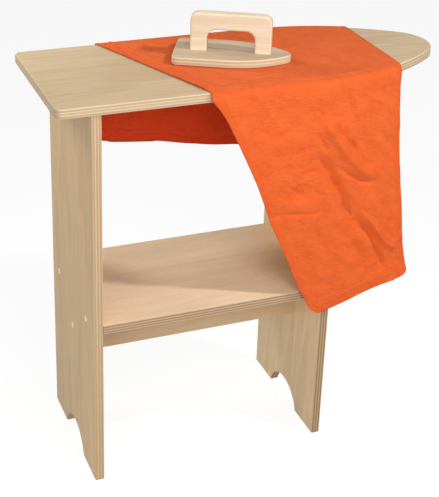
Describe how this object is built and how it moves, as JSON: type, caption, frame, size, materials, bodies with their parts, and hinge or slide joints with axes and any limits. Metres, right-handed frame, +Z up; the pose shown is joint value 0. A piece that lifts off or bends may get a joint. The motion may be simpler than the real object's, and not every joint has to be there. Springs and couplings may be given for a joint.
{
  "type": "toy ironing board",
  "caption": "Child's plywood ironing board with a rounded nose, arched feet and a shelf, with a wooden toy iron standing on a cloth draped over the board.",
  "frame": {"origin": "on the floor under the middle of the board", "axes": "+X along the board towards its round nose, +Y to the back, +Z up"},
  "size_m": [0.628, 0.268, 0.6931],
  "materials": {
    "birch_plywood": "clear satin lacquer, bare veneer edges",
    "solid_birch": "sanded, clear satin lacquer",
    "birch_plugs": "end grain, clear satin lacquer",
    "zinc_screws": "zinc plated",
    "orange_cotton": "plain weave, hemmed"
  },
  "bodies": {
    "stand": {"ironing_board_top": "birch_plywood", "shelf": "birch_plywood", "shelf_stretcher": "birch_plywood", "stretcher_dowels": "birch_plugs", "left_leg_panel": "birch_plywood", "left_leg_plugs": "birch_plugs", "left_shelf_screws": "zinc_screws", "left_stretcher_screw": "zinc_screws", "left_top_cleat": "solid_birch", "left_cleat_board_screws": "zinc_screws", "left_cleat_leg_screws": "zinc_screws", "right_leg_panel": "birch_plywood", "right_leg_plugs": "birch_plugs", "right_shelf_screws": "zinc_screws", "right_stretcher_screw": "zinc_screws", "right_top_cleat": "solid_birch", "right_cleat_board_screws": "zinc_screws", "right_cleat_leg_screws": "zinc_screws"},
    "cloth": {"ironing_cloth": "orange_cotton"},
    "toy_iron": {"iron_soleplate": "birch_plywood", "iron_handle": "solid_birch", "iron_handle_screws": "zinc_screws"}
  },
  "joints": [
    {"name": "cloth_lift", "type": "slide", "parent": "stand", "child": "cloth", "axis": [0, 0, 1], "range_m": [0, 0.4]},
    {"name": "iron_lift", "type": "slide", "parent": "cloth", "child": "toy_iron", "axis": [0, 0, 1], "range_m": [0, 0.12]}
  ]
}
